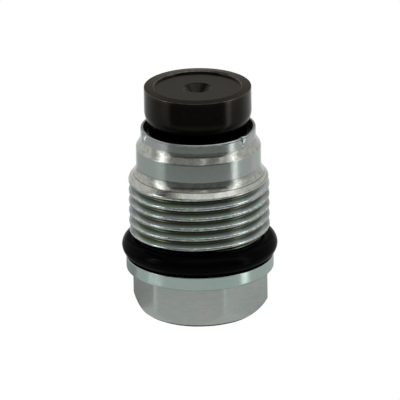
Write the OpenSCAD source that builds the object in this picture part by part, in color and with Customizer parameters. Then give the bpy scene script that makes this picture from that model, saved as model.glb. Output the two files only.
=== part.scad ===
// Pressure-limiting cartridge valve with an M20 x 1.5 screw-in housing.
// Frame: +Z runs along the valve's axis, from the hexagon to the sealing rim
// of the seat body. The origin is the centre of the hexagon's end face, and
// the hexagon has corners on the X axis and flats square to Y. Units are mm.
// The stored pose is the closed valve: the piston's cone is on its seat.

/* [Hexagon and flange] */
// Width of the hexagon across its flats
hex_flats = 17; // [13:1:24]
// Diameter to which the hexagon's corners are turned
hex_corner_dia = 19.26; // [16:0.02:24]
// Diameter of the flat end face inside the rounded chamfer
hex_face_dia = 15.44; // [12:0.02:16]
// Height of the rounded end chamfer at the hexagon's corners
hex_chamfer_height = 1.95; // [1:0.05:3]
// Length of the hexagon
hex_length = 6.3; // [4:0.1:12]
// Diameter of the flange
flange_dia = 20.84; // [18:0.02:28]
// Thickness of the flange
flange_thickness = 2; // [1:0.1:5]
// Edge break of the flange
flange_bevel = 0.25; // [0.1:0.05:0.6]

/* [O-ring and gland] */
// Section diameter of the O-ring
ring_section = 3; // [1.5:0.1:4]
// Outside diameter of the O-ring
ring_outer_dia = 22; // [18:0.1:28]
// Length of the gland between flange and thread
gland_length = 3.2; // [2:0.1:5]

/* [Housing thread] */
// Crest diameter of the male thread, M20 as plated
thread_dia = 19.9; // [18:0.02:22]
// Root diameter of the male thread
thread_root_dia = 18.16; // [16:0.02:20]
// Pitch of both threads
pitch = 1.5; // [1:0.25:2]
// Height where the full crests begin
thread_start = 12.1; // [10:0.05:14]
// Height where the lead chamfer begins
thread_end = 19.95; // [18:0.05:20.2]
// Diameter at the small end of the lead chamfer
lead_dia = 18.6; // [18:0.1:19.6]
// Length of the lead chamfer
lead_length = 0.65; // [0.5:0.05:1]

/* [Nose and collar] */
// Diameter of the plain nose
nose_dia = 17.64; // [17:0.02:17.8]
// Height where the concave fillet runs into the nose
nose_foot = 22; // [21.5:0.1:23]
// Height of the nose's upper edge
nose_top = 24.58; // [23.4:0.02:24.6]
// Diameter of the thin staked collar
collar_dia = 16.26; // [14:0.02:17]
// Height of the collar's rim
collar_top = 27.36; // [25:0.02:30]
// Wall of the collar
collar_wall = 0.4; // [0.3:0.05:1]
// Radius of the fillet between the cone on the nose and the collar
collar_fillet = 1.4; // [0.5:0.1:2]
// Angle of the cone on the nose from the axis
nose_cone = 32; // [25:1:45]
// Number of stake marks around the collar
stakes = 3; // [3:1:6]
// Angle of the first stake mark
stake_phase = -28; // [-60:1:60]
// Width of a stake tab in degrees
stake_width = 12; // [6:1:20]

/* [Return port and inside of the housing] */
// Minor diameter of the M12 x 1.5 return port
port_dia = 10.38; // [9:0.02:12]
// Depth of the return port
port_depth = 7; // [5:0.1:9]
// Diameter of the passage between chamber and port
passage_dia = 4; // [2:0.1:6]
// Height of the spring chamber's floor
chamber_floor = 8.4; // [8:0.1:10]
// Diameter of the spring chamber
chamber_dia = 10.8; // [9:0.1:12]
// Height of the ledge that the seat body rests on
ledge_height = 24.9; // [23:0.1:26]

/* [Seat body] */
// Diameter of the seat body's head
head_dia = 15.16; // [12:0.02:16]
// Height of the sealing rim, the highest point of the valve
rim_height = 33.43; // [30:0.01:36]
// Inner diameter of the sealing rim
rim_inner_dia = 12.6; // [10:0.02:14]
// Drop of the rim from its inner to its outer edge
rim_drop = 0.16; // [0:0.02:0.4]
// Depth of the recess below the rim
recess_depth = 0.35; // [0.2:0.05:1.5]
// Diameter of the recess floor
recess_dia = 12.2; // [8:0.1:12.4]
// Diameter of the inlet cone in the recess floor
inlet_dia = 4; // [2:0.1:6]
// Diameter of the orifice
orifice_dia = 0.8; // [0.4:0.05:1.5]
// Height where the orifice opens into the seat cone
seat_height = 29.9; // [28:0.1:31]
// Large diameter of the seat cone
seat_dia = 2.6; // [1.5:0.1:4]
// Half angle of the seat cone and of the piston's tip
seat_half_angle = 30; // [20:1:45]
// Diameter of the relief chamber below the seat
relief_dia = 5.2; // [4.6:0.1:7]
// Height of the relief chamber's floor
relief_floor = 27.2; // [26:0.1:28]
// Diameter of the piston's guide bore
guide_dia = 4.5; // [3:0.1:6]

/* [Piston and lift] */
// Lift of the piston from its seat to the stop
lift = 1.2; // [0.4:0.1:2]
// Radial clearance of the piston in its guide
guide_clearance = 0.03; // [0.01:0.01:0.1]
// Number of flow flats on the piston
piston_flats = 3; // [2:1:4]
// Distance of a flow flat from the axis
flat_distance = 1.75; // [1.2:0.05:2.1]
// Height of the spring plate's upper face
plate_top = 23.5; // [22:0.1:24]
// Thickness of the spring plate
plate_thickness = 1.4; // [0.8:0.1:3]
// Diameter of the spring plate
plate_dia = 9.8; // [8:0.1:10.4]

/* [Spring, stop and shims] */
// Wire diameter of the closing spring
wire_dia = 1.8; // [1:0.1:2.4]
// Mean coil diameter of the closing spring
coil_dia = 8.2; // [6:0.1:9]
// Number of coils, with one closed coil at each end
coils = 5; // [4:0.5:8]
// Thickness of the lift stop's foot
foot_thickness = 1.2; // [0.8:0.1:2]
// Diameter of the lift stop's pin
stop_dia = 5.2; // [4:0.1:6]
// Diameter of the hole through the lift stop
stop_bore = 2.4; // [1:0.1:3]
// Thickness of the preload shim
preload_shim_thickness = 1; // [0.5:0.1:2]
// Thickness of the trim shim
trim_shim_thickness = 0.3; // [0.1:0.05:0.6]

/* [Hidden] */
$fn = 96;
eps = 0.01;
joint_gap = 0.02;
flange_bottom = hex_length;
flange_top = flange_bottom + flange_thickness;
gland_top = flange_top + gland_length;
gland_radius = ring_outer_dia / 2 - ring_section;
thread_run_out = 0.6;
groove_bottom = 0.2;
thread_flank = 30;
lead_top = thread_end + lead_length;
chamfer_radius = 5;
collar_bevel = 0.08;
port_chamfer = 1;
port_undercut = 1;
cone_slope = tan(seat_half_angle);
neck_dia = 13.74;
taper_bottom = 27.65;
taper_top = 29.35;
taper_radius = 2.8;
shoulder_dia = 15.36;
shoulder_top = 26.2;
stem_dia = 10.6;
stem_bottom = 23.9;
plate_bottom = plate_top - plate_thickness;
boss_height = 0.6;
boss_dia = 6.2;
spigot_dia = 3;
stop_top = plate_bottom - boss_height - lift - joint_gap;
foot_top = chamber_floor + foot_thickness;
preload_top = foot_top + preload_shim_thickness;
spring_bottom = preload_top + trim_shim_thickness;
spring_top = plate_bottom;
shim_inner_dia = 5.5;
shim_outer_dia = 10.4;
relief_edge = 0.2;

// Points of a circular arc in a half section, from angle a0 to a1.
function arc(centre_r, centre_z, radius, a0, a1, steps = 8) = [
  for (i = [0 : steps])
    let (a = a0 + (a1 - a0) * i / steps)
    [centre_r + radius * cos(a), centre_z + radius * sin(a)]
];

// Arc of the hexagon's rounded chamfer, from the end face out to the corners.
function chamfer_arc() =
  let (run = (hex_corner_dia - hex_face_dia) / 2,
       tilt = atan2(hex_chamfer_height, run) - 90,
       half = asin(norm([run, hex_chamfer_height]) / 2 / chamfer_radius))
    arc(hex_face_dia / 2 - chamfer_radius * cos(tilt - half),
        -chamfer_radius * sin(tilt - half), chamfer_radius,
        tilt - half, tilt + half);

// Concave fillet from the lead chamfer's small end up into the nose.
function nose_fillet() =
  let (run = (lead_dia - nose_dia) / 2,
       rise = nose_foot - lead_top,
       radius = (run * run + rise * rise) / (2 * run))
    arc(nose_dia / 2 + radius, nose_foot, radius, 180 + asin(rise / radius), 180);

// Concave fillet from the cone on the nose up into the collar.
function collar_arc() =
  let (corner = nose_top + (nose_dia - collar_dia) / 2 / tan(nose_cone))
    arc(collar_dia / 2 + collar_fillet,
        corner + collar_fillet * tan(nose_cone / 2), collar_fillet,
        180 + nose_cone, 180);

// Half section of one annular thread groove; side is 1 on a male thread.
module groove(crest_r, root_r, z, side) {
  half_root = groove_bottom / 2;
  half_mouth = half_root + abs(crest_r - root_r) * tan(thread_flank);
  over = 0.2;
  polygon([
    [root_r, z - half_root],
    [crest_r, z - half_mouth],
    [crest_r + side * over, z - half_mouth],
    [crest_r + side * over, z + half_mouth],
    [crest_r, z + half_mouth],
    [root_r, z + half_root]
  ]);
}

// Hexagon with turned corners and the rounded end chamfer.
module hex_head() {
  intersection() {
    cylinder(d = hex_flats / cos(30), h = flange_bottom + eps, $fn = 6);
    rotate_extrude()
      polygon(concat(
        [[0, 0]],
        chamfer_arc(),
        [
          [hex_corner_dia / 2, flange_bottom + eps],
          [0, flange_bottom + eps]
        ]
      ));
  }
}

// Flange, gland, thread, nose and collar as one turned shape.
module turned_body() {
  crest = thread_dia / 2;
  root = thread_root_dia / 2;
  first_root = thread_start + 1.1;
  rotate_extrude()
    difference() {
      polygon(concat(
        [
          [0, flange_bottom],
          [flange_dia / 2 - flange_bevel, flange_bottom],
          [flange_dia / 2, flange_bottom + flange_bevel],
          [flange_dia / 2, flange_top - flange_bevel / 2],
          [flange_dia / 2 - flange_bevel / 2, flange_top],
          [gland_radius, flange_top],
          [gland_radius, gland_top],
          [crest - 1, gland_top],
          [crest, gland_top + thread_run_out],
          [crest, thread_end]
        ],
        nose_fillet(),
        [[nose_dia / 2, nose_top]],
        collar_arc(),
        [
          [collar_dia / 2, collar_top - collar_bevel],
          [collar_dia / 2 - collar_bevel, collar_top],
          [0, collar_top]
        ]
      ));
      for (z = [first_root : pitch : thread_end])
        groove(crest, root, z, 1);
    }
}

// Everything that is bored out of the housing along its axis.
module housing_bore() {
  port_r = port_dia / 2;
  port_major = port_r + 0.86;
  collar_r = collar_dia / 2 - collar_wall;
  thread_top = port_depth - port_undercut;
  rotate_extrude()
    union() {
      polygon([
        [0, -eps],
        [port_r + port_chamfer + eps, -eps],
        [port_r, port_chamfer],
        [port_r, thread_top],
        [port_major, thread_top],
        [port_major, port_depth],
        [passage_dia / 2, port_depth],
        [passage_dia / 2, chamber_floor],
        [chamber_dia / 2, chamber_floor],
        [chamber_dia / 2, ledge_height],
        [collar_r, ledge_height],
        [collar_r, collar_top + eps],
        [0, collar_top + eps]
      ]);
      for (z = [port_chamfer + 0.9 : pitch : thread_top])
        groove(port_r, port_major, z, -1);
    }
}

// Tabs that the staking punch pushed in over the seat body's shoulder.
module stake_tabs() {
  inner_r = neck_dia / 2 + 0.2;
  collar_r = collar_dia / 2 - collar_wall;
  low = shoulder_top + 0.05;
  high = collar_top - 0.1;
  for (i = [0 : stakes - 1])
    rotate([0, 0, stake_phase + i * 360 / stakes - stake_width / 2])
      rotate_extrude(angle = stake_width)
        polygon([
          [inner_r + 0.1, low],
          [collar_r + 0.1, low],
          [collar_r + 0.1, high],
          [inner_r, high]
        ]);
}

// Upright punch marks left in the outside of the collar.
module stake_marks() {
  mark_r = 0.3;
  mark_depth = 0.16;
  mark_height = 0.95;
  for (i = [0 : stakes - 1])
    rotate([0, 0, stake_phase + i * 360 / stakes])
      translate([collar_dia / 2 + mark_r - mark_depth, 0, collar_top - mark_height])
        cylinder(r = mark_r, h = mark_height + eps, $fn = 24);
}

module housing() {
  color("silver") {
    difference() {
      union() {
        hex_head();
        turned_body();
      }
      housing_bore();
      stake_marks();
    }
    stake_tabs();
  }
}

// Arc that rounds the head's taper into its side.
function taper_arc() =
  let (run = (head_dia - neck_dia) / 2,
       slope = atan2(run, taper_top - taper_bottom))
    arc(head_dia / 2 - taper_radius, taper_top + taper_radius * tan(slope / 2),
        taper_radius, -slope, 0, 4);

module valve_seat_body() {
  head_r = head_dia / 2;
  edge = 0.08;
  floor_z = rim_height - recess_depth;
  inlet_bottom = floor_z - (inlet_dia - orifice_dia) / 2;
  seat_bottom = seat_height - (seat_dia - orifice_dia) / 2 / cone_slope;
  guide_r = guide_dia / 2;
  color("dimgray")
    rotate_extrude()
      polygon([
        [stem_dia / 2, stem_bottom],
        [stem_dia / 2, ledge_height + eps],
        [shoulder_dia / 2 - edge, ledge_height + eps],
        [shoulder_dia / 2, ledge_height + edge],
        [shoulder_dia / 2, shoulder_top - edge],
        [shoulder_dia / 2 - edge, shoulder_top],
        [neck_dia / 2, shoulder_top],
        [neck_dia / 2, taper_bottom],
        each taper_arc(),
        [head_r, rim_height - rim_drop - edge],
        [head_r - edge, rim_height - rim_drop],
        [rim_inner_dia / 2, rim_height],
        [recess_dia / 2 + edge, floor_z + edge],
        [recess_dia / 2 - edge, floor_z],
        [inlet_dia / 2, floor_z],
        [orifice_dia / 2, inlet_bottom],
        [orifice_dia / 2, seat_height],
        [seat_dia / 2, seat_bottom],
        [relief_dia / 2, seat_bottom],
        [relief_dia / 2, relief_floor],
        [guide_r, relief_floor - relief_edge],
        [guide_r, stem_bottom + relief_edge],
        [guide_r + relief_edge, stem_bottom]
      ]);
}

module gland_o_ring() {
  centre_z = flange_top + ring_section / 2 + 0.05;
  color("black")
    rotate_extrude()
      translate([ring_outer_dia / 2 - ring_section / 2 + joint_gap, centre_z])
        circle(d = ring_section - 2 * joint_gap);
}

module valve_piston() {
  body_r = guide_dia / 2 - guide_clearance;
  tip_r = 0.25;
  cone_r = 1.6;
  seat_line = seat_height - joint_gap;
  cone_top = seat_line + (orifice_dia / 2 - tip_r) / cone_slope;
  cone_bottom = seat_line - (cone_r - orifice_dia / 2) / cone_slope;
  body_top = relief_floor - relief_edge;
  chamfer = 0.3;
  flat_length = body_top - plate_top - 1;
  color("lightgray")
    difference() {
      rotate_extrude()
        polygon([
          [0, plate_bottom + 0.2],
          [spigot_dia / 2, plate_bottom + 0.2],
          [spigot_dia / 2, plate_top],
          [body_r - 0.1, plate_top],
          [body_r, plate_top + 0.1],
          [body_r, body_top - chamfer],
          [body_r - chamfer, body_top],
          [cone_r, body_top],
          [cone_r, cone_bottom],
          [tip_r, cone_top],
          [0, cone_top]
        ]);
      for (i = [0 : piston_flats - 1])
        rotate([0, 0, i * 360 / piston_flats])
          translate([flat_distance, -guide_dia / 2, plate_top - eps])
            cube([guide_dia, guide_dia, flat_length + 1 + chamfer]);
    }
}

module spring_plate() {
  plate_r = plate_dia / 2;
  bevel = 0.2;
  color("gray")
    rotate_extrude()
      polygon([
        [spigot_dia / 2 + joint_gap, plate_bottom - boss_height],
        [boss_dia / 2 - bevel, plate_bottom - boss_height],
        [boss_dia / 2, plate_bottom - boss_height + bevel],
        [boss_dia / 2, plate_bottom],
        [plate_r, plate_bottom],
        [plate_r, plate_top - bevel],
        [plate_r - bevel, plate_top],
        [spigot_dia / 2 + joint_gap, plate_top]
      ]);
}

// Centre line of the closing spring: height after t turns.
function coil_z(t) =
  let (
    sink = wire_dia / 6,
    closed = wire_dia * 1.02,
    low = spring_bottom - sink,
    rise = spring_top - spring_bottom + 2 * sink,
    active = (rise - 2 * closed) / (coils - 2)
  )
  low + closed * min(t, 1)
      + active * max(0, min(t - 1, coils - 2))
      + closed * max(0, t - coils + 1);

// One point on the wire's surface, after t turns and at angle a round the wire.
function wire_point(t, a) =
  let (r = coil_dia / 2 + wire_dia / 2 * cos(a))
  [r * cos(360 * t), r * sin(360 * t), coil_z(t) + wire_dia / 2 * sin(a)];

// Round wire wound into a helix, with both ends ground flat.
module closing_spring() {
  per_turn = 24;
  around = 12;
  rings = coils * per_turn;
  points = [
    for (i = [0 : rings], j = [0 : around - 1])
      wire_point(i / per_turn, 360 * j / around)
  ];
  sides = [
    for (i = [0 : rings - 1], j = [0 : around - 1])
      let (
        k = (j + 1) % around,
        a = i * around,
        b = a + around
      )
      [a + j, a + k, b + k, b + j]
  ];
  first_cap = [for (j = [around - 1 : -1 : 0]) j];
  last_cap = [for (j = [0 : around - 1]) rings * around + j];
  color("slategray")
    intersection() {
      polyhedron(points, concat(sides, [first_cap, last_cap]), 10);
      translate([-coil_dia, -coil_dia, spring_bottom])
        cube([2 * coil_dia, 2 * coil_dia, spring_top - spring_bottom]);
    }
}

module lift_stop() {
  slot_width = 1;
  slot_depth = 1.2;
  bevel = 0.2;
  color("lightsteelblue")
    difference() {
      rotate_extrude()
        polygon([
          [stop_bore / 2, chamber_floor],
          [shim_outer_dia / 2 - bevel, chamber_floor],
          [shim_outer_dia / 2, chamber_floor + bevel],
          [shim_outer_dia / 2, foot_top],
          [stop_dia / 2, foot_top],
          [stop_dia / 2, stop_top - bevel],
          [stop_dia / 2 - bevel, stop_top],
          [stop_bore / 2, stop_top]
        ]);
      for (angle = [0, 90])
        rotate([0, 0, angle])
          translate([-stop_dia, -slot_width / 2, stop_top - slot_depth])
            cube([2 * stop_dia, slot_width, slot_depth + eps]);
    }
}

// Flat washer between two heights, used for both shims.
module washer(bottom, top) {
  difference() {
    translate([0, 0, bottom])
      cylinder(d = shim_outer_dia, h = top - bottom);
    translate([0, 0, bottom - eps])
      cylinder(d = shim_inner_dia, h = top - bottom + 2 * eps);
  }
}

module preload_shim() {
  color("gainsboro")
    washer(foot_top, preload_top);
}

module trim_shim() {
  color("gold")
    washer(preload_top, spring_bottom);
}

housing();
valve_seat_body();
gland_o_ring();
valve_piston();
spring_plate();
closing_spring();
lift_stop();
preload_shim();
trim_shim();
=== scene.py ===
"""Looks for a pressure limiting cartridge valve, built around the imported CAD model."""

import math

import bmesh
import bpy
import numpy as np
from mathutils import Matrix, Vector


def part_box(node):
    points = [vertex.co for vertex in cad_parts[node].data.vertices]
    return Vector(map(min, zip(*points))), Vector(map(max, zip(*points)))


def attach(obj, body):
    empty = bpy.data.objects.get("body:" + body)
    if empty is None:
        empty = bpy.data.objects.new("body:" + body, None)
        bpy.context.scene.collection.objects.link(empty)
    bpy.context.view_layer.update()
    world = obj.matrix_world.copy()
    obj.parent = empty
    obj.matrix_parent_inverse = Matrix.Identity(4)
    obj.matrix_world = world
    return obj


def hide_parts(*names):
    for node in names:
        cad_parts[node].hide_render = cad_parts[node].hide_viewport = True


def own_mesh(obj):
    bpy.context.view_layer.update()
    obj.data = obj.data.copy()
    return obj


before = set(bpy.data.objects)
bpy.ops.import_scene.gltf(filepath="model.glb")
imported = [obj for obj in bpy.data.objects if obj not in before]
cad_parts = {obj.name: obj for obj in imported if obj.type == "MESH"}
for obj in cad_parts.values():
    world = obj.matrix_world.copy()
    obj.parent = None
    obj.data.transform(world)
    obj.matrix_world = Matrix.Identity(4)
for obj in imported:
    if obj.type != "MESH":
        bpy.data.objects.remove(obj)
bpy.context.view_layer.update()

MM = 0.001

# ---------------------------------------------------------------- dimensions
# Millimetres in the valve's frame: heights run along +Z from the hexagon's face.
HEX_FLAT = 17 / 2
HEX_CORNER = 19.26 / 2
HEX_FACE = 15.44 / 2
HEX_CHAMFER_TOP = 1.95
HEX_CHAMFER_R = 5.0
FLANGE_Z = 6.3
FLANGE_R = 20.84 / 2
FLANGE_TOP = 8.3
FLANGE_BEVEL = 0.25
FLANGE_EDGE = 0.07
GLAND_R = 8.0
GLAND_TOP = 11.5
THREAD_R = 19.9 / 2
THREAD_ROOT_R = 18.16 / 2
PITCH = 1.5
THREAD_START = 12.1
THREAD_END = 19.87
THREAD_FADE = (19.2, 19.75)  # the groove runs out between these heights
THREAD_ROWS_TOP = 20.3
LEAD_R = 18.6 / 2
LEAD_TOP = 20.6
THREAD_PHASE = 11.93  # height of a groove's root at angle 0
NOSE_R = 17.64 / 2
NOSE_FOOT = 22.0
NOSE_TOP = 24.58
FILLET_TOP = 25.9  # under the collar
COLLAR_R = 16.26 / 2
COLLAR_TOP = 27.36
COLLAR_BORE = 7.73
COLLAR_FOOT = 26.2
COLLAR_STEP = 0.11  # between the rows that the stake marks bend
NECK_FILLET = 1.4
NECK_SLOPE = 32  # of the cone below the collar, from the axis
STAKE_PHASE = -28.0
STAKE_COUNT = 3
# Stake marks as depth, half width, height where they start, and height where they are full
STAKE_PUSH = (0.26, 0.95, 26.3, 26.9)
STAKE_PUNCH = (0.13, 0.24, 26.05, 26.2)
STAKE_FOLD = (0.15, 0.8, 26.2, 26.5)
LEDGE = 24.9
CHAMBER_R = 5.4
CHAMBER_FLOOR = 8.4
PASSAGE_R = 2.0
PORT_R = 5.19
PORT_ROOT_R = 6.05
PORT_DEPTH = 7.0
PORT_THREAD_TOP = 6.0
PORT_CHAMFER = 1.0
PORT_THREAD_PHASE = 2.4
HEAD_R = 7.58
HEAD_FOOT = 29.35
NECK_R = 6.87
NECK_TOP = 27.65
SKIRT_R = 7.68
SKIRT_TOP = 26.2
SPIGOT_R = 5.3
SEAT_GAP = 0.01  # under the seat body, so that it doesn't share a face with the ledge
INLET_R = 2.0
ORIFICE_R = 0.4
SEAT_TOP = 29.9
SEAT_FOOT = 28.34
SEAT_R = 1.3
RELIEF_R = 2.6
RELIEF_FLOOR = 27.2
GUIDE_R = 2.25
GUIDE_CHAMFER = 0.2
FOOT_SHADE = (28.5, 33.0)  # heights between which the painted shade on the head's side fades out
RIM_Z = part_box("valve_seat_body")[1].z / MM
RIM_ROUNDED_Z = RIM_Z - 0.0025  # once the rim is rounded
RIM_R = 6.3
RIM_DROP = 0.11
RECESS_R = 6.1
RECESS_BEVEL = 0.16
RECESS_DEPTH = 0.35
RING_SECTION_R = 1.48
RING_CENTRE_R = 9.52
RING_FLASH = 0.012
SPRING_R = 4.1
SPRING_WIRE = 1.8
SPRING_COILS = 5
VIEW_AZIMUTH = 11.6
MIDDLE = Vector((0, 0, 16 * MM))
MERGE_DISTANCE = 2e-7  # in metres, between points of a mesh that are one point


# ---------------------------------------------------------------- mesh helpers
def column_angles():
    """Angles of the housing's columns in degrees, closer together at hexagon corners and stake marks."""
    even = np.arange(0, 360, 360 / 160)
    corners = [60 * k + d for k in range(6) for d in (-1.6, -0.7, 0.7, 1.6)]
    stakes = [
        STAKE_PHASE + 360 / STAKE_COUNT * k + d
        for k in range(STAKE_COUNT)
        for d in np.linspace(-7.5, 7.5, 24)
    ]
    angles = np.sort(np.mod(np.concatenate([even, corners, stakes]), 360))
    keep = np.concatenate([[True], np.diff(angles) > 0.2])
    angles = angles[keep]
    return np.append(angles, angles[0] + 360)


def soften(path, reach, steps=3):
    """Rounds the inner corners of a path of (r, z) points or columns of points.

    reach[k] is how far the rounding of inner corner k runs along its two sides, and 0 leaves it sharp.
    A support point on each side keeps the shading of the flats clean.
    """
    path = [np.asarray(p, float) for p in path]
    rows = [path[0]]
    for before, corner, after, far in zip(path, path[1:], path[2:], reach):
        if far == 0:
            rows.append(corner)
            continue
        to_before = before - corner
        to_before = to_before / np.linalg.norm(to_before, axis=-1, keepdims=True)
        to_after = after - corner
        to_after = to_after / np.linalg.norm(to_after, axis=-1, keepdims=True)
        rows.append(corner + 1.5 * far * to_before)
        for t in np.linspace(0, 1, steps + 1):
            rows.append(
                corner + far * ((1 - t) ** 2 * to_before + t**2 * to_after)
            )
        rows.append(corner + 1.5 * far * to_after)
    rows.append(path[-1])
    return rows


def arc(centre_r, centre_z, radius, start, end, steps=8):
    """Points of an arc from one angle to another, in degrees."""
    return [
        (centre_r + radius * math.cos(a), centre_z + radius * math.sin(a))
        for a in np.radians(np.linspace(start, end, steps + 1))
    ]


def nose_fillet():
    """Concave fillet from the lead chamfer's small end up into the nose."""
    run, rise = LEAD_R - NOSE_R, NOSE_FOOT - LEAD_TOP
    radius = (run**2 + rise**2) / (2 * run)
    foot = 180 + math.degrees(math.asin(rise / radius))
    return arc(NOSE_R + radius, NOSE_FOOT, radius, foot, 180)


def collar_fillet():
    """Concave fillet from the cone on top of the nose up into the collar."""
    slope = math.radians(NECK_SLOPE)
    corner = NOSE_TOP + (NOSE_R - COLLAR_R) / math.tan(slope)
    top = corner + NECK_FILLET * math.tan(slope / 2)
    return arc(COLLAR_R + NECK_FILLET, top, NECK_FILLET, 180 + NECK_SLOPE, 180)


def hex_chamfer(side_r):
    """Rows of the hexagon's rounded end chamfer, cut off by its sides of radius side_r."""
    chord = math.hypot(HEX_CORNER - HEX_FACE, HEX_CHAMFER_TOP)
    tilt = math.degrees(math.atan2(HEX_CHAMFER_TOP, HEX_CORNER - HEX_FACE))
    half = math.degrees(math.asin(chord / 2 / HEX_CHAMFER_R))
    start, end = tilt - 90 - half, tilt - 90 + half
    centre_r = HEX_FACE - HEX_CHAMFER_R * math.cos(math.radians(start))
    centre_z = -HEX_CHAMFER_R * math.sin(math.radians(start))
    limit = np.degrees(np.arccos((side_r - centre_r) / HEX_CHAMFER_R))
    rows = []
    for t in np.linspace(0, 1, 9):
        a = np.radians(start + (-limit - start) * t)
        r = centre_r + HEX_CHAMFER_R * np.cos(a)
        z = centre_z + HEX_CHAMFER_R * np.sin(a)
        rows.append(np.stack([r, z], axis=-1))
    return rows


def rows_of(points, columns):
    """Rows of a grid from points that are the same at every angle, or already given per column."""
    return [np.broadcast_to(np.asarray(p, float), (columns, 2)) for p in points]


def revolve(name, rows, degrees):
    """Closed mesh object from rows of (r, z) in millimetres, one value for each angle, wrapped round Z."""
    grid = np.array(rows)
    angle = np.radians(degrees)
    xyz = np.stack(
        [grid[..., 0] * np.cos(angle), grid[..., 0] * np.sin(angle), grid[..., 1]], axis=-1
    )
    count, columns = grid.shape[:2]
    index = np.arange(count * columns).reshape(count, columns)
    following = np.roll(index, -1, axis=0)
    quads = np.stack(
        [index[:, :-1], index[:, 1:], following[:, 1:], following[:, :-1]], axis=-1
    ).reshape(-1, 4)
    mesh = bpy.data.meshes.new(name)
    mesh.from_pydata((xyz.reshape(-1, 3) * MM).tolist(), [], quads.tolist())
    bm = bmesh.new()
    bm.from_mesh(mesh)
    bmesh.ops.remove_doubles(bm, verts=bm.verts, dist=MERGE_DISTANCE)
    bmesh.ops.recalc_face_normals(bm, faces=bm.faces)
    for face in bm.faces:
        face.smooth = True
    bm.to_mesh(mesh)
    bm.free()
    piece = bpy.data.objects.new(name, mesh)
    bpy.context.scene.collection.objects.link(piece)
    return piece


def bump(x, half_width):
    """Smooth hump that is 1 at 0 and 0 beyond half_width."""
    t = np.clip(1 - np.abs(x) / half_width, 0, 1)
    return t * t * (3 - 2 * t)


def ramp(x, low, high):
    """Smooth step from 0 at low to 1 at high."""
    t = np.clip((x - low) / (high - low), 0, 1)
    return t * t * (3 - 2 * t)


# ---------------------------------------------------------------- housing
def thread_rows(degrees, crest, root, low, high, phase, envelope, depth):
    """Rows of a right-hand helical thread between two heights.

    envelope(z) is the radius of the blank, and depth(z) how deep the groove is cut there, from 0 to 1.
    Crest above root makes a male thread, and crest below root a female one.
    """
    side = 1 if crest > root else -1
    flat = 0.1
    mouth = flat + abs(crest - root) * math.tan(math.radians(30))
    groove = [(root, 0), (root, flat), (crest, mouth)]
    mirrored = [(r, PITCH - s) for r, s in groove[::-1]]
    profile = soften(groove + mirrored, (0.07, 0.11, 0.11, 0.07), steps=2)[:-1]
    advance = PITCH * degrees / 360
    first = math.floor((low - phase - advance.max()) / PITCH)
    last = math.ceil((high - phase - advance.min()) / PITCH)
    rows = []
    for turn in range(first, last + 1):
        for r, s in profile:
            nearest = turn + (1 if s > PITCH / 2 else 0)
            root_z = phase + nearest * PITCH + advance
            z = np.clip(phase + turn * PITCH + s + advance, low, high)
            cut = crest + (r - crest) * depth(root_z)
            blank = envelope(z)
            radius = np.minimum(cut, blank) if side > 0 else np.maximum(cut, blank)
            rows.append(np.stack([radius, z], axis=-1))
    return rows


def male_blank(z):
    """Radius of the housing's blank along the thread, with its run-out cone and lead chamfer."""
    slope = (THREAD_R - LEAD_R) / (LEAD_TOP - THREAD_END)
    outline = (
        (GLAND_TOP, THREAD_R - 1.0),
        (THREAD_START - 0.12, THREAD_R - 0.18),
        (THREAD_START + 0.08, THREAD_R),
        (THREAD_END - 0.05, THREAD_R - 0.01),
        (THREAD_END + 0.04, THREAD_R - 0.04 * slope - 0.01),
        (LEAD_TOP, LEAD_R),
    )
    return np.interp(z, *zip(*outline))


def female_blank(z):
    """Radius of the return port's bore along its thread."""
    return np.full_like(z, PORT_R)


def mark(along, z, shape):
    """How far a stake mark of one shape goes in at a distance along the collar and a height."""
    depth, half_width, start, full = shape
    return depth * bump(along, half_width) * ramp(z, start, full)


def stake(grid, degrees):
    """Pushes the collar inward at its stake marks, with an upright punch mark in the outside of each."""
    r, z = grid[..., 0], grid[..., 1]
    on_collar = (r > COLLAR_BORE - 0.05) & (r < COLLAR_R + 0.05) & (z > FILLET_TOP)
    outside = r > (COLLAR_R + COLLAR_BORE) / 2
    for k in range(STAKE_COUNT):
        away = np.mod(degrees - STAKE_PHASE - 360 / STAKE_COUNT * k + 180, 360) - 180
        along = np.radians(away) * COLLAR_R
        punch = mark(along, z, STAKE_PUNCH)
        fold = mark(along, z, STAKE_FOLD)
        inward = mark(along, z, STAKE_PUSH) + np.where(outside, punch, fold)
        r = np.where(on_collar, r - inward, r)
    return np.stack([r, z], axis=-1)


def ring(r, z, degrees):
    """One row of the housing, at a radius and height that may differ from column to column."""
    return np.stack(np.broadcast_arrays(r, z, degrees)[:2], axis=-1).astype(float)


def hexagon_rows(degrees):
    """Rows from the hexagon's end face over its sides, the flange and the gland to the thread."""
    from_flat = np.radians(np.mod(degrees, 60) - 30)
    side_r = np.minimum(HEX_FLAT / np.cos(from_flat), HEX_CORNER)
    chamfer = hex_chamfer(side_r)
    face = [(HEX_FACE - 1.0, 0.0), (HEX_FACE - 0.12, 0.0), (HEX_FACE - 0.05, 0.01)]
    above = [
        (side_r, FLANGE_Z),
        (FLANGE_R - FLANGE_BEVEL, FLANGE_Z),
        (FLANGE_R, FLANGE_Z + FLANGE_BEVEL),
        (FLANGE_R, FLANGE_TOP - FLANGE_EDGE),
        (FLANGE_R - FLANGE_EDGE, FLANGE_TOP),
        (GLAND_R, FLANGE_TOP),
        (GLAND_R, GLAND_TOP),
        (THREAD_R - 1.0, GLAND_TOP),
    ]
    reach = (0.06, 0.05, 0.07, 0.07, 0.03, 0.03, 0.1, 0.1)
    rows = [ring(r, z, degrees) for r, z in face] + chamfer[1:-1]
    return rows + soften(chamfer[-2:] + [ring(r, z, degrees) for r, z in above], reach)[1:]


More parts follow.
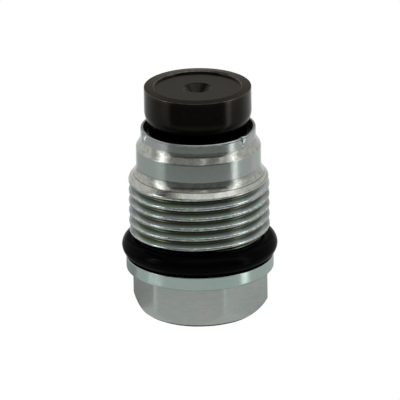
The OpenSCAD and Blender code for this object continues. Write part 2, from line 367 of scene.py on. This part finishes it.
def male_thread_rows(degrees):
    """Rows of the M20 thread, which fades out below the lead chamfer."""
    return thread_rows(
        degrees,
        THREAD_R,
        THREAD_ROOT_R,
        GLAND_TOP,
        THREAD_ROWS_TOP,
        THREAD_PHASE,
        male_blank,
        lambda z: 1 - ramp(z, *THREAD_FADE),
    )


def female_thread_rows(degrees):
    """Rows of the return port's thread, from its inner end out to the chamfer."""
    rows = thread_rows(
        degrees,
        PORT_R,
        PORT_ROOT_R,
        PORT_CHAMFER,
        PORT_THREAD_TOP,
        PORT_THREAD_PHASE,
        female_blank,
        lambda z: np.ones_like(z),
    )
    return rows[::-1]


def nose_points():
    """Outline from the lead chamfer over the fillet, the nose and the cone to the collar's foot."""
    fillet, neck = nose_fillet(), collar_fillet()
    lead = (float(male_blank(THREAD_ROWS_TOP)), THREAD_ROWS_TOP)
    points = soften([lead, fillet[0], fillet[1]], (0.06,))[1:-1] + fillet[1:]
    return points + soften([(NOSE_R, NOSE_FOOT + 0.1), (NOSE_R, NOSE_TOP), neck[0]], (0.09,)) + neck[1:]


def collar_points():
    """Outline up the collar, over its rim and down its bore, in steps that the stake marks can bend."""
    rim = [
        (COLLAR_R, COLLAR_TOP - 0.2),
        (COLLAR_R, COLLAR_TOP - 0.09),
        (COLLAR_R - 0.09, COLLAR_TOP),
        (COLLAR_BORE, COLLAR_TOP),
        (COLLAR_BORE, COLLAR_TOP - 0.15),
    ]
    up = [(COLLAR_R, z) for z in np.arange(COLLAR_FOOT, COLLAR_TOP - 0.15, COLLAR_STEP)]
    down = [(COLLAR_BORE, z) for z in np.arange(COLLAR_TOP - 0.25, COLLAR_FOOT - 0.15, -COLLAR_STEP)]
    return up + soften(rim, (0.03, 0.03, 0.05)) + down


def inside_points():
    """Outline from the collar's bore down the chamber and the passage to the port's thread."""
    points = [
        (COLLAR_BORE, COLLAR_FOOT - 0.2),
        (COLLAR_BORE, LEDGE),
        (CHAMBER_R, LEDGE),
        (CHAMBER_R, CHAMBER_FLOOR),
        (PASSAGE_R, CHAMBER_FLOOR),
        (PASSAGE_R, PORT_DEPTH),
        (PORT_ROOT_R, PORT_DEPTH),
        (PORT_ROOT_R, PORT_THREAD_TOP),
        (PORT_R, PORT_THREAD_TOP),
    ]
    return soften(points, (0.1, 0.1, 0.1, 0.1, 0.1, 0.15, 0.1))[:-1]


def port_mouth_points():
    """Outline of the port's chamfer, out to the hexagon's end face."""
    points = [
        (PORT_R, PORT_CHAMFER + 0.1),
        (PORT_R, PORT_CHAMFER),
        (PORT_R + PORT_CHAMFER, 0),
        (HEX_FACE - 1.0, 0),
    ]
    return soften(points, (0.05, 0.05))[1:-1]


def make_housing():
    """The whole housing as one surface, from the hexagon up round the collar and down the inside."""
    degrees = column_angles()
    columns = len(degrees)
    rows = (
        hexagon_rows(degrees)
        + male_thread_rows(degrees)
        + rows_of(nose_points() + collar_points() + inside_points(), columns)
        + female_thread_rows(degrees)
        + rows_of(port_mouth_points(), columns)
    )
    piece = revolve("housing_shell", stake(np.array(rows), degrees), degrees)
    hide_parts("housing")
    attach(piece, "valve_body")
    return piece


# ---------------------------------------------------------------- other pieces
def make_seat_body():
    """Turned body with its spigot, skirt, neck and head, and its bore from the inlet to the guide."""
    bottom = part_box("valve_seat_body")[0].z / MM
    floor_z = RIM_Z - RECESS_DEPTH
    start = (4.0, bottom)  # anywhere on the flat bottom
    outside = [
        (SPIGOT_R, bottom),
        (SPIGOT_R, LEDGE + SEAT_GAP),
        (SKIRT_R, LEDGE + SEAT_GAP),
        (SKIRT_R, SKIRT_TOP),
        (NECK_R, SKIRT_TOP),
        (NECK_R, NECK_TOP),
        (HEAD_R, HEAD_FOOT),
        (HEAD_R, RIM_Z - RIM_DROP),
    ]
    top = [
        (RIM_R, RIM_Z),
        (RIM_R - RECESS_BEVEL, RIM_Z - RECESS_BEVEL),
        (RECESS_R, floor_z),
        (INLET_R, floor_z),
        (ORIFICE_R, floor_z - (INLET_R - ORIFICE_R)),
    ]
    bore = [
        (ORIFICE_R, SEAT_TOP),
        (SEAT_R, SEAT_FOOT),
        (RELIEF_R, SEAT_FOOT),
        (RELIEF_R, RELIEF_FLOOR),
        (GUIDE_R, RELIEF_FLOOR - GUIDE_CHAMFER),
        (GUIDE_R, bottom + GUIDE_CHAMFER),
        (GUIDE_R + GUIDE_CHAMFER, bottom),
    ]
    reach = (0.1, 0.05, 0.08, 0.08, 0.06, 0.12, 0.55, 0.09, 0.03, 0.03, 0.05, 0.08, 0.06)
    path = soften([start, *outside, *top, *bore, start], reach + (0,) * len(bore), steps=5)
    degrees = np.linspace(0, 360, 181)
    rows = rows_of(path[:-1], len(degrees))
    piece = revolve("seat_body_turned", rows, degrees)
    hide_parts("valve_seat_body")
    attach(piece, "valve_body")
    return piece


def make_o_ring():
    """Relaxed ring with the mould's fine flash line round its outside."""
    low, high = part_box("gland_o_ring")
    centre_z = (low.z + high.z) / 2 / MM
    section = []
    for around in np.linspace(0, 360, 49)[:-1]:
        a = math.radians(around)
        moulded = RING_SECTION_R - RING_FLASH
        flash = RING_FLASH * float(bump(min(around, 360 - around), 6))
        section.append((RING_CENTRE_R + (moulded + flash) * math.cos(a), centre_z + moulded * math.sin(a)))
    degrees = np.linspace(0, 360, 241)
    piece = revolve("o_ring_moulded", rows_of(section, len(degrees)), degrees)
    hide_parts("gland_o_ring")
    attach(piece, "valve_body")
    return piece


def make_spring():
    """Round wire with a closed and ground coil at each end."""
    low, high = (corner.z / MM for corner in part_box("closing_spring"))
    sink, closed, turns = SPRING_WIRE / 6, SPRING_WIRE * 1.02, SPRING_COILS
    turn = np.linspace(0, turns, turns * 48 + 1)[:, None]
    around = np.radians(np.linspace(0, 360, 21)[:-1])
    heights = (low - sink, low - sink + closed, high + sink - closed, high + sink)
    centre_z = np.interp(turn, (0, 1, turns - 1, turns), heights)
    r = SPRING_R + SPRING_WIRE / 2 * np.cos(around)
    z = np.clip(centre_z + SPRING_WIRE / 2 * np.sin(around), low, high)
    points = np.stack([r * np.cos(2 * np.pi * turn), r * np.sin(2 * np.pi * turn), z], axis=-1)
    rings, k = z.shape
    faces = [
        (i * k + j, i * k + (j + 1) % k, (i + 1) * k + (j + 1) % k, (i + 1) * k + j)
        for i in range(rings - 1)
        for j in range(k)
    ]
    faces += [tuple(range(k))[::-1], tuple(range((rings - 1) * k, rings * k))]
    mesh = bpy.data.meshes.new("spring_coiled")
    mesh.from_pydata((points.reshape(-1, 3) * MM).tolist(), [], faces)
    for polygon in mesh.polygons:
        polygon.use_smooth = abs(polygon.normal.z) < 0.999
    piece = bpy.data.objects.new("spring_coiled", mesh)
    bpy.context.scene.collection.objects.link(piece)
    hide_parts("closing_spring")
    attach(piece, "valve_body")
    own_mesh(piece)
    return piece


# ---------------------------------------------------------------- materials
class Nodes:
    """Short calls for building one material's node tree."""

    def __init__(self, name):
        self.material = bpy.data.materials.new(name)
        self.material.use_nodes = True
        self.tree = self.material.node_tree
        self.shader = self.tree.nodes["Principled BSDF"]

    def node(self, kind, **settings):
        made = self.tree.nodes.new(kind)
        for key, value in settings.items():
            setattr(made, key, value)
        return made

    def link(self, source, target):
        self.tree.links.new(source, target)

    def place(self, stretch=(1, 1, 1)):
        """Object coordinates in millimetres, stretched by three factors."""
        coords = self.node("ShaderNodeTexCoord")
        scaled = self.node("ShaderNodeVectorMath", operation="MULTIPLY")
        scaled.inputs[1].default_value = tuple(s / MM for s in stretch)
        self.link(coords.outputs["Object"], scaled.inputs[0])
        return scaled.outputs[0]

    def noise(self, vector, scale, detail=3.0, roughness=0.55):
        texture = self.node("ShaderNodeTexNoise")
        texture.inputs["Scale"].default_value = scale
        texture.inputs["Detail"].default_value = detail
        texture.inputs["Roughness"].default_value = roughness
        self.link(vector, texture.inputs["Vector"])
        return texture.outputs["Fac"]

    def blend(self, factor, stops):
        """Colour ramp over a factor; stops are (position, colour)."""
        made = self.node("ShaderNodeValToRGB")
        elements = made.color_ramp.elements
        for element, (position, colour) in zip(elements, stops):
            element.position, element.color = position, (*colour, 1)
        for position, colour in stops[2:]:
            elements.new(position).color = (*colour, 1)
        self.link(factor, made.inputs["Fac"])
        return made.outputs["Color"]

    def spread(self, factor, low, high, span=(0.3, 0.7)):
        """Maps a factor to a range; a noise's factor runs from about 0.3 to 0.7."""
        made = self.node("ShaderNodeMapRange")
        limits = {"From Min": span[0], "From Max": span[1], "To Min": low, "To Max": high}
        for name, value in limits.items():
            made.inputs[name].default_value = value
        self.link(factor, made.inputs["Value"])
        return made.outputs["Result"]

    def radius(self):
        """Distance from the valve's axis in millimetres."""
        made = self.node("ShaderNodeVectorMath", operation="LENGTH")
        self.link(self.place((1, 1, 0)), made.inputs[0])
        return made.outputs["Value"]

    def height(self):
        """Height above the hexagon's end face in millimetres."""
        made = self.node("ShaderNodeSeparateXYZ")
        self.link(self.place(), made.inputs[0])
        return made.outputs["Z"]

    def line(self, colour, at, half_width, tint):
        """Colour with a thin line of a tint round the valve at one height."""
        away = self.node("ShaderNodeMath", operation="COMPARE")
        away.inputs[1].default_value = at
        away.inputs[2].default_value = half_width
        self.link(self.height(), away.inputs[0])
        return self.times(colour, self.blend(away.outputs[0], [(0.0, (1, 1, 1)), (1.0, tint)]))

    def times(self, one, other):
        """Product of two colours."""
        made = self.node("ShaderNodeMix", data_type="RGBA", blend_type="MULTIPLY")
        made.inputs["Factor"].default_value = 1
        self.link(one, made.inputs["A"])
        self.link(other, made.inputs["B"])
        return made.outputs["Result"]

    def bump(self, height, distance_mm, under=None):
        made = self.node("ShaderNodeBump")
        made.inputs["Distance"].default_value = distance_mm * MM
        self.link(height, made.inputs["Height"])
        if under is not None:
            self.link(under, made.inputs["Normal"])
        return made.outputs["Normal"]

    def set(self, **values):
        for key, value in values.items():
            socket = self.shader.inputs[key.replace("_", " ")]
            if isinstance(value, bpy.types.NodeSocket):
                self.link(value, socket)
            else:
                socket.default_value = value


# Tints of the zinc's passivation, of what is on it, and of painted shade
OLIVE = (0.60, 0.61, 0.51)
NEUTRAL = (0.60, 0.615, 0.61)
WHITE = (0.66, 0.675, 0.66)
GREEN = (0.54, 0.635, 0.59)
SEA_GREEN = (0.505, 0.635, 0.59)
BLUE = (0.51, 0.595, 0.62)
UNTINTED = (1, 1, 1)
THIN_LINE = (0.42, 0.42, 0.34)
CONTACT_SHADOW = (0.12, 0.12, 0.09)
GROOVE_SHADE = (0.3, 0.29, 0.2)


def zinc(
    name, tints, roughness, rings=0.0015, peel=0.003, patches=0.0, dents=0.0, shade_and_glint_radii=None, lines=()
):
    """Bright zinc plate with faint passivation tints over fine turning rings.

    patches is how far olive spots darken it, dents how deep it is marked, shade_and_glint_radii the two radii
    between which painted shade darkens the grooves and beyond which painted highlights brighten the crests,
    and lines the heights and half widths of thin dark lines.
    """
    m = Nodes(name)
    stops = [(0.3 + 0.4 * i / (len(tints) - 1), tint) for i, tint in enumerate(tints)]
    colour = m.blend(m.noise(m.place((1, 1, 1.6)), 0.22, 2), stops)
    rough = m.spread(m.noise(m.place(), 1.3), roughness - 0.04, roughness + 0.05)
    normal = m.bump(m.noise(m.place((0.4, 0.4, 9)), 1.0, 2), rings)
    normal = m.bump(m.noise(m.place(), 2.2, 2), peel, normal)
    if patches:
        spots = m.noise(m.place((1, 1, 1.4)), 1.1, 4, 0.6)
        dark = tuple(1 - patches * share for share in (0.85, 0.85, 1.2))
        colour = m.times(colour, m.blend(spots, [(0.42, dark), (1.0, UNTINTED), (0.58, (1.0, 1.0, 0.93))]))
        normal = m.bump(spots, 0.006, normal)
    if dents:
        normal = m.bump(m.noise(m.place((1, 1, 1.3)), 3.4, 3, 0.6), dents, normal)
    for at, half_width in lines:
        colour = m.line(colour, at, half_width, THIN_LINE)
    # painted shade in the thread's grooves and painted highlights on its crests
    if shade_and_glint_radii:
        colour = crest_glints(m, painted_groove_shade(m, colour, *shade_and_glint_radii), shade_and_glint_radii[1])
    m.set(Base_Color=colour, Metallic=1.0, Roughness=rough, Normal=normal)
    return m.material


def painted_groove_shade(m, colour, root_r, unshaded_r):
    """Colour with olive-tinted painted shade in the grooves, from a root radius out to where the shade ends.
    """
    depth = m.spread(m.radius(), 0, 1, (root_r, unshaded_r))
    stops = [(0.0, GROOVE_SHADE), (1.0, (0.97, 0.97, 0.97)), (0.6, (0.6, 0.63, 0.61))]
    return m.times(colour, m.blend(depth, stops))


def crest_glints(m, colour, unshaded_r):
    """Colour with painted highlights: bright dashes on the crests beyond a radius."""
    glint = m.node("ShaderNodeMath", operation="MINIMUM")
    m.link(m.noise(m.place((1, 1, 5)), 1.4, 2), glint.inputs[0])
    m.link(m.spread(m.radius(), 0, 1, (unshaded_r + 0.08, unshaded_r + 0.2)), glint.inputs[1])
    return m.times(colour, m.blend(glint.outputs[0], [(0.5, UNTINTED), (0.6, (1.5, 1.5, 1.5))]))


def zinc_milled():
    """Zinc plate over drawn hexagon flats: satin, with faint marks along the flats, a few pits and a painted
    contact shadow along the foot.
    """
    m = Nodes("zinc_milled")
    tints = [(0.35, (0.57, 0.635, 0.61)), (0.65, (0.61, 0.64, 0.6)), (0.5, (0.58, 0.635, 0.595))]
    colour = m.blend(m.noise(m.place(), 0.3, 2), tints)
    # painted contact shadow: a dark band along the hexagon's foot
    colour = m.line(colour, 0.25, 0.2, CONTACT_SHADOW)
    pits = m.noise(m.place(), 5.0, 1)
    colour = m.times(colour, m.blend(pits, [(0.76, UNTINTED), (0.8, (0.3, 0.3, 0.28))]))
    grain = m.noise(m.place((0.6, 0.6, 5)), 1.2, 4)
    colour = m.times(colour, m.blend(grain, [(0.4, (0.9, 0.95, 0.96)), (0.6, (1.06, 1.02, 1.0))]))
    m.set(
        Base_Color=colour,
        Metallic=1.0,
        Roughness=m.spread(grain, 0.34, 0.46),
        Normal=m.bump(m.noise(m.place(), 1.5, 2), 0.006, m.bump(grain, 0.004)),
    )
    return m.material


def burnished(name, tint, edge_tint=(1, 1, 1), shaded_foot=False):
    """Hardened steel, burnished brown-black; painted shade darkens a side towards its foot next to the
    collar.
    """
    m = Nodes(name)
    shades = [tuple(share * c for c in tint) for share in (0.89, 1.11)]
    colour = m.blend(m.noise(m.place(), 0.5, 3), [(0.35, shades[0]), (0.65, shades[1])])
    if shaded_foot:
        # painted shade on the head's side: darkest at the foot beside the collar, lightening upward
        height = m.spread(m.height(), 0, 1, FOOT_SHADE)
        foot_shade_stops = [(0.0, (0.05, 0.05, 0.05)), (1.0, UNTINTED), (0.15, (0.08, 0.08, 0.075))]
        foot_shade_stops += [(0.28, (0.62, 0.62, 0.6)), (0.95, (0.75, 0.74, 0.71))]
        colour = m.times(colour, m.blend(height, foot_shade_stops))
    m.set(
        Base_Color=colour,
        Metallic=1.0,
        Roughness=m.spread(m.noise(m.place(), 3.0), 0.17, 0.23),
        Normal=m.bump(m.noise(m.place((0.3, 0.3, 10)), 1.0, 2), 0.0012),
        Specular_Tint=(*edge_tint, 1),
    )
    return m.material


def brown_edge_highlight():
    """Edges of the burnished rim in lighter brown, which paints a highlight line along them."""
    m = Nodes("brown_edge_highlight")
    wear = m.noise(m.place((1, 1, 0.3)), 1.2, 3)
    m.set(
        Base_Color=m.blend(wear, [(0.35, (0.09, 0.081, 0.070)), (0.65, (0.155, 0.141, 0.123))]),
        Metallic=1.0,
        Roughness=0.28,
        Specular_Tint=(1, 0.9, 0.78, 1),
    )
    return m.material


def black_rubber():
    """Oiled nitrile rubber."""
    m = Nodes("black_rubber")
    m.set(
        Base_Color=(0.0015, 0.0015, 0.0016, 1),
        Roughness=m.spread(m.noise(m.place(), 1.2), 0.05, 0.08),
        Normal=m.bump(m.noise(m.place(), 3.0), 0.002),
    )
    m.shader.inputs["Specular IOR Level"].default_value = 0.012
    m.shader.inputs["Coat Weight"].default_value = 0.03
    m.shader.inputs["Coat Roughness"].default_value = 0.03
    return m.material


def bare_steel(name, colour, roughness, stretch=(0.4, 0.4, 8)):
    """Uncoated steel with fine machining marks along or round the axis."""
    m = Nodes(name)
    marks = m.noise(m.place(stretch), 1.0, 3)
    darker = tuple(0.85 * c for c in colour)
    m.set(
        Base_Color=m.blend(m.noise(m.place(), 0.8), [(0.35, darker), (0.65, colour)]),
        Metallic=1.0,
        Roughness=m.spread(marks, roughness - 0.06, roughness + 0.06),
        Normal=m.bump(marks, 0.003),
    )
    return m.material


# ---------------------------------------------------------------- finishes of the pieces
def housing_finishes():
    """Materials of the housing's regions, the first of them for what has no region of its own."""
    # radii of the painted shade in the grooves and the painted highlights on the crests
    grooves = (THREAD_ROOT_R, THREAD_R - 0.25)
    lead_edge = (LEAD_TOP + 0.03, 0.06)
    nose_line = (21.9, 0.03)
    return {
        "turned": zinc("zinc_turned", (NEUTRAL, GREEN, NEUTRAL), 0.205, lines=(nose_line,)),
        "milled": zinc_milled(),
        "flange": zinc("zinc_flange", (SEA_GREEN, GREEN, SEA_GREEN, SEA_GREEN), 0.2),
        "thread": zinc(
            "zinc_thread", (OLIVE, GREEN, NEUTRAL, BLUE), 0.17, rings=0, dents=0.03, shade_and_glint_radii=grooves
        ),
        "fillet": zinc("zinc_fillet", (NEUTRAL, NEUTRAL), 0.18, patches=0.24),
        "lead": zinc("zinc_lead", (WHITE, WHITE), 0.15, patches=0.16, dents=0.016, lines=(lead_edge,)),
        # nearly black: painted shade on the bore inside the collar and the chamber
        "bore": bare_steel("shaded_bore_steel", (0.05, 0.045, 0.04), 0.35, (0.4, 0.4, 2)),
    }


def housing_region(r, z):
    """Region of the housing at a radius and height."""
    in_gland = r > GLAND_R - 0.5 and z < GLAND_TOP
    if r < COLLAR_BORE + 0.06 and z > PORT_DEPTH + 0.5 and not in_gland:
        return "bore"
    if r < PORT_ROOT_R + 0.2:
        return "turned"
    if z < FLANGE_Z - 0.02:
        return "milled"
    if z < GLAND_TOP:
        return "flange"
    if z < THREAD_END:
        return "thread"
    if z < LEAD_TOP + 0.1:
        return "lead"
    if z < NOSE_FOOT - 0.2 or NOSE_TOP < z < FILLET_TOP:
        return "fillet"
    return "turned"


def seat_body_finishes():
    """Burnished all over, browner on the rim, with a painted highlight of lighter brown along the rim's
    edges.
    """
    return {
        "side": burnished("burnished_side", (0.040, 0.0385, 0.0335), shaded_foot=True),
        "face": burnished("burnished_face", (0.028, 0.0255, 0.0215), edge_tint=(1, 0.98, 0.93)),
        "rim": burnished("burnished_rim", (0.037, 0.0325, 0.0275), edge_tint=(1, 0.94, 0.87)),
        "edge": brown_edge_highlight(),
    }


def seat_body_region(r, z):
    """Region of the seat body at a radius and height."""
    if RIM_R - RECESS_BEVEL < r < RIM_R and z > RIM_ROUNDED_Z - RECESS_BEVEL:
        return "edge"
    if r < RIM_R:
        return "face"
    if z > RIM_ROUNDED_Z - RIM_DROP - 0.09:
        return "edge" if r > HEAD_R - 0.09 else "rim"
    return "side"


def apply_finishes(piece, finishes, region):
    """Gives each face of a piece the finish of the region that its centre is in, as region(r, z) says."""
    for material in finishes.values():
        piece.data.materials.append(material)
    order = list(finishes)
    for polygon in piece.data.polygons:
        x, y, z = polygon.center / MM
        polygon.material_index = order.index(region(math.hypot(x, y), z))


def finish_inner_nodes():
    """Bare steels on the CAD nodes that keep their shape."""
    shim_strip = bare_steel("shim_strip", (0.55, 0.53, 0.5), 0.3, (5, 0.5, 0.5))
    inner = {
        "valve_piston": bare_steel("lapped_steel", (0.6, 0.6, 0.61), 0.16),
        "spring_plate": bare_steel("hard_turned_steel", (0.42, 0.41, 0.4), 0.3),
        "lift_stop": bare_steel("stop_steel", (0.44, 0.43, 0.42), 0.28),
        "preload_shim": shim_strip,
        "trim_shim": shim_strip,
    }
    for node, material in inner.items():
        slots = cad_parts[node].data.materials
        slots.clear()
        slots.append(material)


# ---------------------------------------------------------------- stage
def facing(azimuth, elevation):
    """Unit vector from the valve towards an azimuth and elevation counted from the camera's side."""
    a, e = math.radians(azimuth + VIEW_AZIMUTH), math.radians(elevation)
    return Vector((math.sin(a) * math.cos(e), -math.cos(a) * math.cos(e), math.sin(e)))


def make_camera():
    """Long lens looking down on the valve; the roll and aim are its framing."""
    elevation, distance, view_width = 20.35, 1.657, 0.05649159
    roll, right_mm, up_mm = 0.856, 0.112, 0.202
    back = facing(0, elevation)
    data = bpy.data.cameras.new("camera")
    data.sensor_width = 36
    data.lens = distance / view_width * data.sensor_width
    data.clip_end = 20
    camera = bpy.data.objects.new("camera", data)
    camera.rotation_mode = "QUATERNION"
    turn = (-back).to_track_quat("-Z", "Y")
    turn = turn @ Matrix.Rotation(math.radians(-roll), 3, "Z").to_quaternion()
    axes = turn.to_matrix()
    aim = MIDDLE + axes.col[0] * right_mm * MM + axes.col[1] * up_mm * MM
    camera.location = aim + back * distance
    camera.rotation_quaternion = turn
    bpy.context.scene.collection.objects.link(camera)
    bpy.context.scene.camera = camera


def glow(name, radiance):
    """Material of a card that only shines."""
    material = bpy.data.materials.new(name)
    material.use_nodes = True
    shader = material.node_tree.nodes["Principled BSDF"]
    shader.inputs["Base Color"].default_value = (0, 0, 0, 1)
    shader.inputs["Specular IOR Level"].default_value = 0
    shader.inputs["Emission Color"].default_value = (1, 1, 1, 1)
    shader.inputs["Emission Strength"].default_value = radiance
    return material


def card(name, points, faces, radiance):
    """Glowing surface of the studio, seen in reflections and not by the camera."""
    mesh = bpy.data.meshes.new(name)
    mesh.from_pydata(points, [], faces)
    mesh.materials.append(glow(name, radiance))
    made = bpy.data.objects.new(name, mesh)
    made.visible_camera = False
    made.visible_shadow = False
    bpy.context.scene.collection.objects.link(made)


def tent(name, azimuths, elevations, radiance, radius=1.2):
    """Card that covers a span of azimuths and elevations round the valve."""
    across = max(1, round(abs(azimuths[1] - azimuths[0]) / 6))
    up = max(1, round(abs(elevations[1] - elevations[0]) / 6))
    points = [
        MIDDLE + radius * facing(a, e)
        for e in np.linspace(*elevations, up + 1)
        for a in np.linspace(*azimuths, across + 1)
    ]
    row = across + 1
    faces = [
        (j * row + i, j * row + i + 1, (j + 1) * row + i + 1, (j + 1) * row + i)
        for j in range(up)
        for i in range(across)
    ]
    card(name, points, faces, radiance)


def table(name, azimuths, inner, outer, radiance, far_azimuths=None, raised=0.0):
    """Part of the table top between two distances from the valve's axis, in metres.

    far_azimuths is the span of azimuths at its outer end where that differs.
    """
    count = max(2, round((azimuths[1] - azimuths[0]) / 6))
    points = [
        facing(a, 0) * d + Vector((0, 0, raised - 0.0003))
        for d, span in ((inner, azimuths), (outer, far_azimuths or azimuths))
        for a in np.linspace(*span, count + 1)
    ]
    faces = [(i, i + 1, count + 2 + i, count + 1 + i) for i in range(count)]
    card(name, points, faces, radiance)


def light_table():
    """Bands of table top round the valve, with the paler and darker stretches that it reflects."""
    table("table_near", (-100, 180), 0.0079, 0.045, 0.5)
    table("table_near_left", (-180, -100), 0.0079, 0.045, 0.3)
    table("table_front_1", (-61, 60), 0.045, 0.060, 0.38)
    table("table_front_2", (-61, 60), 0.060, 0.0745, 0.24)
    table("table_front_3", (-61, 60), 0.0745, 0.0815, 0.34)
    table("table_front_4", (-61, 60), 0.0815, 0.094, 0.02)
    table("table_edge", (-61, 60), 0.094, 1.2, 0.1)
    table("table_left", (-110, -61), 0.045, 1.2, 0.4)
    table("table_right", (60, 110), 0.045, 1.2, 0.44)
    table("table_left_far", (-150, -110), 0.045, 0.12, 0.4)
    table("table_left_farther", (-150, -100), 0.12, 1.2, 0.6, raised=0.0001)
    table("table_right_far", (110, 150), 0.045, 1.2, 0.52)
    table("table_back", (150, 210), 0.045, 1.2, 0.7)
    table("shade_near_left", (-135, -90), 0.0079, 0.0225, 0.24, raised=0.0001)
    table("shade_near_right", (58, 130), 0.0079, 0.0225, 0.4, raised=0.0001)
    table("sheen_left", (-74, -52), 0.025, 0.034, 0.8, raised=0.0001)
    table("shade_left", (-78, -50), 0.034, 0.058, 0.32, raised=0.0001)
    table("sheen_left_mid", (-76, -61), 0.058, 0.13, 0.5, (-82, -65), 0.0001)
    table("sheen_left_far", (-82, -65), 0.13, 1.2, 1.3, (-86, -68), 0.0001)
    table("sheen_right", (55, 66), 0.025, 1.2, 1.3, (65, 75), 0.0001)


def light_walls():
    """Big dim cards: the walls, the backdrop, and the dark front of the studio."""
    tent("wall_left", (-150, -100), (-1, 44), 0.6)
    tent("wall_left_near", (-100, -88), (-1, 48), 0.42)
    tent("wall_right", (84, 150), (-1, 60), 0.56)
    tent("backdrop_low", (150, 210), (-1, 11), 0.6)
    tent("backdrop", (150, 210), (12, 28), 0.3)
    tent("backdrop_high", (150, 210), (28, 70), 0.14)
    tent("front_low", (-60, 60), (-1, 14), 0.12)
    tent("front_upper", (-60, 60), (30, 52), 0.24)


def light_lamps():
    """Softboxes at both sides, each with a dimmer edge and a bright tube, and the cards overhead."""
    tent("front_tube", (5, 14), (34, 46), 0.75, 1.1)
    tent("front_tube_right", (46, 54), (34, 46), 0.75, 1.1)
    tent("lamp_left", (-84, -67), (-2, 39), 1.4)
    tent("lamp_left_edge", (-92, -58), (-2, 36), 0.7, 1.22)
    tent("lamp_right", (65, 82), (-2, 51), 1.2)
    tent("lamp_right_edge", (56, 90), (-2, 51), 0.65, 1.22)
    tent("lamp_right_top", (86, 97), (46, 54), 1.5)
    tent("tube_left", (-78.5, -75.5), (12, 36), 5.0, 1.1)
    tent("tube_right", (70.5, 74), (12, 44), 2.6, 1.1)
    tent("overhead_left", (-95, -50), (52, 86), 0.33)
    tent("overhead", (-50, 92), (51, 86), 0.78)
    tent("overhead_right", (45, 84), (51, 64), 1.1, 1.1)
    tent("overhead_behind", (95, 307), (70, 89), 0.4)


def make_world():
    """Dark room behind the cards, and white for the camera."""
    world = bpy.data.worlds.new("studio")
    world.use_nodes = True
    bpy.context.scene.world = world
    tree = world.node_tree
    background = tree.nodes["Background"]
    seen = tree.nodes.new("ShaderNodeLightPath")
    white = tree.nodes.new("ShaderNodeMix")
    white.data_type = "RGBA"
    white.inputs["A"].default_value = (0.045, 0.045, 0.045, 1)
    white.inputs["B"].default_value = (1, 1, 1, 1)
    tree.links.new(seen.outputs["Is Camera Ray"], white.inputs["Factor"])
    tree.links.new(white.outputs["Result"], background.inputs["Color"])


def make_floor():
    """White floor that only the camera sees."""
    mesh = bpy.data.meshes.new("floor")
    half, z = 4.0, -0.02 * MM
    corners = [(-half, -half, z), (half, -half, z), (half, half, z), (-half, half, z)]
    mesh.from_pydata(corners, [], [(0, 1, 2, 3)])
    mesh.materials.append(glow("floor_white", 1.0))
    floor = bpy.data.objects.new("floor", mesh)
    floor.visible_glossy = floor.visible_diffuse = floor.visible_shadow = False
    bpy.context.scene.collection.objects.link(floor)


# ---------------------------------------------------------------- assembly
make_camera()
make_world()
light_table()
light_walls()
light_lamps()
make_floor()
bpy.context.scene.view_settings.view_transform = "Standard"

apply_finishes(make_housing(), housing_finishes(), housing_region)
apply_finishes(make_seat_body(), seat_body_finishes(), seat_body_region)
make_o_ring().data.materials.append(black_rubber())
make_spring().data.materials.append(bare_steel("spring_wire", (0.3, 0.29, 0.28), 0.34, (3, 3, 3)))
finish_inner_nodes()
